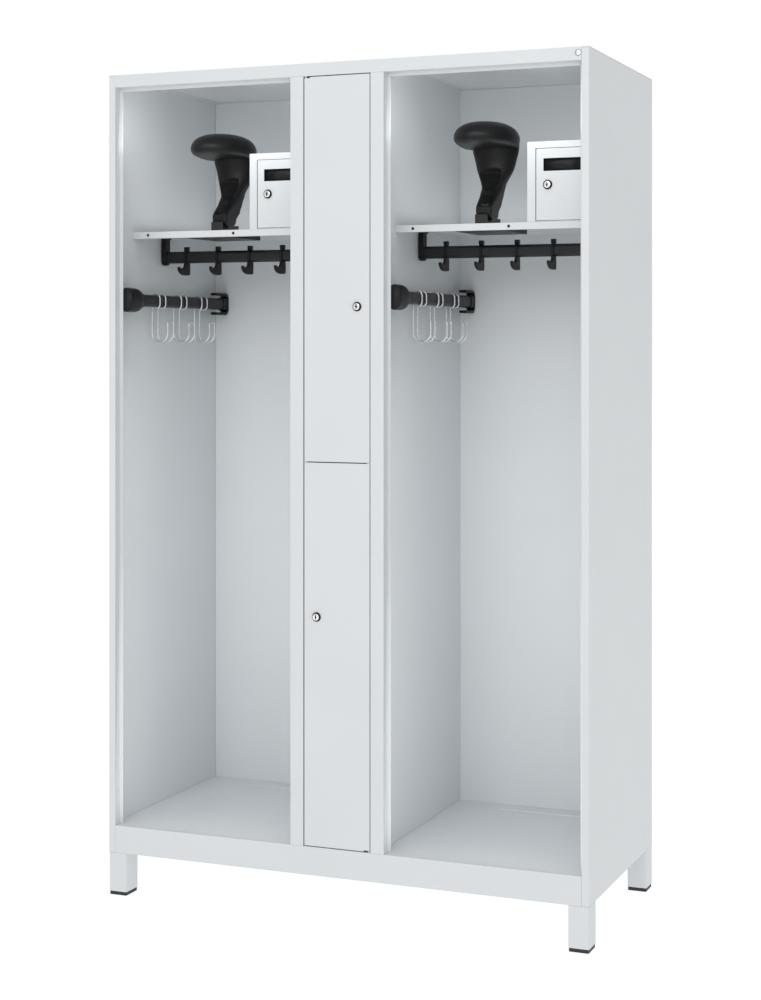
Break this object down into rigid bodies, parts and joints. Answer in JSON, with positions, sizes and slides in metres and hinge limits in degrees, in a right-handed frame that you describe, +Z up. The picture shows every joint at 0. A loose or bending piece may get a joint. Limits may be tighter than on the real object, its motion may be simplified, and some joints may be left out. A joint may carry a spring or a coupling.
{
  "type": "firefighter gear locker",
  "caption": "Steel gear locker on legs with open helmet and clothing compartments either side of stacked lockable doors.",
  "frame": {"origin": "middle of the footprint, on the floor under the legs", "axes": "+Z up, front with the doors faces -Y, +X to the right seen from the front"},
  "size_m": [1.13, 0.5045, 1.85],
  "materials": {
    "light_grey_paint": "light grey powder coat, satin, very fine texture",
    "black_paint": "black powder coat, satin",
    "black_plastic": "black moulded plastic, fine eroded texture",
    "foot_plastic": "black moulded plastic",
    "zinc_wire": "bright zinc plated wire",
    "lock_chrome": "polished chrome lock face"
  },
  "bodies": {
    "locker": {"top_panel": "light_grey_paint", "floor_panel": "light_grey_paint", "back_panel": "light_grey_paint", "middle_floor": "light_grey_paint", "front_left_leg": "light_grey_paint", "front_left_foot_cap": "foot_plastic", "front_right_leg": "light_grey_paint", "front_right_foot_cap": "foot_plastic", "rear_left_leg": "light_grey_paint", "rear_left_foot_cap": "foot_plastic", "rear_right_leg": "light_grey_paint", "rear_right_foot_cap": "foot_plastic", "left_side_panel": "light_grey_paint", "left_divider": "light_grey_paint", "left_shelf": "light_grey_paint", "left_valuables_box": "light_grey_paint", "left_holder_channel": "black_paint", "left_holder_foot": "black_plastic", "left_hook_rail": "black_paint", "left_side_rail": "black_paint", "left_rail_cup": "black_plastic", "left_rail_cradle": "black_plastic", "right_side_panel": "light_grey_paint", "right_divider": "light_grey_paint", "right_shelf": "light_grey_paint", "right_valuables_box": "light_grey_paint", "right_holder_channel": "black_paint", "right_holder_foot": "black_plastic", "right_hook_rail": "black_paint", "right_side_rail": "black_paint", "right_rail_cup": "black_plastic", "right_rail_cradle": "black_plastic"},
    "upper_door": {"upper_door": "light_grey_paint"},
    "upper_door_lock": {"upper_door_lock": "lock_chrome"},
    "lower_door": {"lower_door": "light_grey_paint"},
    "lower_door_lock": {"lower_door_lock": "lock_chrome"},
    "left_valuables_door": {"left_valuables_door": "light_grey_paint"},
    "left_valuables_lock": {"left_valuables_lock": "lock_chrome"},
    "left_holder": {"left_holder_arm": "black_plastic", "left_holder_pad": "black_plastic"},
    "left_hook_1": {"left_hook_1": "black_plastic"},
    "left_hook_2": {"left_hook_2": "black_plastic"},
    "left_hook_3": {"left_hook_3": "black_plastic"},
    "left_hook_4": {"left_hook_4": "black_plastic"},
    "left_hook_5": {"left_hook_5": "black_plastic"},
    "left_wire_hook_1": {"left_wire_hook_1": "zinc_wire"},
    "left_wire_hook_2": {"left_wire_hook_2": "zinc_wire"},
    "left_wire_hook_3": {"left_wire_hook_3": "zinc_wire"},
    "right_valuables_door": {"right_valuables_door": "light_grey_paint"},
    "right_valuables_lock": {"right_valuables_lock": "lock_chrome"},
    "right_holder": {"right_holder_arm": "black_plastic", "right_holder_pad": "black_plastic"},
    "right_hook_1": {"right_hook_1": "black_plastic"},
    "right_hook_2": {"right_hook_2": "black_plastic"},
    "right_hook_3": {"right_hook_3": "black_plastic"},
    "right_hook_4": {"right_hook_4": "black_plastic"},
    "right_hook_5": {"right_hook_5": "black_plastic"},
    "right_wire_hook_1": {"right_wire_hook_1": "zinc_wire"},
    "right_wire_hook_2": {"right_wire_hook_2": "zinc_wire"},
    "right_wire_hook_3": {"right_wire_hook_3": "zinc_wire"}
  },
  "joints": [
    {"name": "upper_door_hinge", "type": "hinge", "parent": "locker", "child": "upper_door", "pos_m": [-0.07455, -0.246, 1.404], "axis": [0, 0, -1], "range_deg": [0, 98]},
    {"name": "upper_door_lock_turn", "type": "hinge", "parent": "upper_door", "child": "upper_door_lock", "pos_m": [0.0482, -0.24, 1.323], "axis": [0, -1, 0], "range_deg": [0, 90]},
    {"name": "lower_door_hinge", "type": "hinge", "parent": "locker", "child": "lower_door", "pos_m": [0.07455, -0.246, 0.573], "axis": [0, 0, 1], "range_deg": [0, 98]},
    {"name": "lower_door_lock_turn", "type": "hinge", "parent": "lower_door", "child": "lower_door_lock", "pos_m": [-0.0474, -0.24, 0.654], "axis": [0, 1, 0], "range_deg": [0, 90]},
    {"name": "left_valuables_hinge", "type": "hinge", "parent": "locker", "child": "left_valuables_door", "pos_m": [-0.1182, -0.1468, 1.58], "axis": [0, 0, 1], "range_deg": [0, 80]},
    {"name": "left_valuables_lock_turn", "type": "hinge", "parent": "left_valuables_door", "child": "left_valuables_lock", "pos_m": [-0.2155, -0.142, 1.5797], "axis": [0, 1, 0], "range_deg": [0, 90]},
    {"name": "left_holder_tilt", "type": "hinge", "parent": "locker", "child": "left_holder", "pos_m": [-0.4053, -0.01, 1.535], "axis": [1, 0, 0], "range_deg": [0, 30]},
    {"name": "left_hook_1_slide", "type": "slide", "parent": "locker", "child": "left_hook_1", "axis": [1, 0, 0], "range_m": [-0.03, 0.03]},
    {"name": "left_hook_2_slide", "type": "slide", "parent": "locker", "child": "left_hook_2", "axis": [1, 0, 0], "range_m": [-0.03, 0.03]},
    {"name": "left_hook_3_slide", "type": "slide", "parent": "locker", "child": "left_hook_3", "axis": [1, 0, 0], "range_m": [-0.03, 0.03]},
    {"name": "left_hook_4_slide", "type": "slide", "parent": "locker", "child": "left_hook_4", "axis": [1, 0, 0], "range_m": [-0.03, 0.03]},
    {"name": "left_hook_5_slide", "type": "slide", "parent": "locker", "child": "left_hook_5", "axis": [1, 0, 0], "range_m": [-0.03, 0.03]},
    {"name": "left_wire_hook_1_slide", "type": "slide", "parent": "locker", "child": "left_wire_hook_1", "axis": [0, 1, 0], "range_m": [-0.03, 0.03]},
    {"name": "left_wire_hook_2_slide", "type": "slide", "parent": "locker", "child": "left_wire_hook_2", "axis": [0, 1, 0], "range_m": [-0.03, 0.03]},
    {"name": "left_wire_hook_3_slide", "type": "slide", "parent": "locker", "child": "left_wire_hook_3", "axis": [0, 1, 0], "range_m": [-0.03, 0.03]},
    {"name": "right_valuables_hinge", "type": "hinge", "parent": "locker", "child": "right_valuables_door", "pos_m": [0.5412, -0.1468, 1.58], "axis": [0, 0, 1], "range_deg": [0, 80]},
    {"name": "right_valuables_lock_turn", "type": "hinge", "parent": "right_valuables_door", "child": "right_valuables_lock", "pos_m": [0.4439, -0.142, 1.5797], "axis": [0, 1, 0], "range_deg": [0, 90]},
    {"name": "right_holder_tilt", "type": "hinge", "parent": "locker", "child": "right_holder", "pos_m": [0.2541, -0.01, 1.535], "axis": [1, 0, 0], "range_deg": [0, 30]},
    {"name": "right_hook_1_slide", "type": "slide", "parent": "locker", "child": "right_hook_1", "axis": [1, 0, 0], "range_m": [-0.03, 0.03]},
    {"name": "right_hook_2_slide", "type": "slide", "parent": "locker", "child": "right_hook_2", "axis": [1, 0, 0], "range_m": [-0.03, 0.03]},
    {"name": "right_hook_3_slide", "type": "slide", "parent": "locker", "child": "right_hook_3", "axis": [1, 0, 0], "range_m": [-0.03, 0.03]},
    {"name": "right_hook_4_slide", "type": "slide", "parent": "locker", "child": "right_hook_4", "axis": [1, 0, 0], "range_m": [-0.03, 0.03]},
    {"name": "right_hook_5_slide", "type": "slide", "parent": "locker", "child": "right_hook_5", "axis": [1, 0, 0], "range_m": [-0.03, 0.03]},
    {"name": "right_wire_hook_1_slide", "type": "slide", "parent": "locker", "child": "right_wire_hook_1", "axis": [0, 1, 0], "range_m": [-0.03, 0.03]},
    {"name": "right_wire_hook_2_slide", "type": "slide", "parent": "locker", "child": "right_wire_hook_2", "axis": [0, 1, 0], "range_m": [-0.03, 0.03]},
    {"name": "right_wire_hook_3_slide", "type": "slide", "parent": "locker", "child": "right_wire_hook_3", "axis": [0, 1, 0], "range_m": [-0.03, 0.03]}
  ]
}
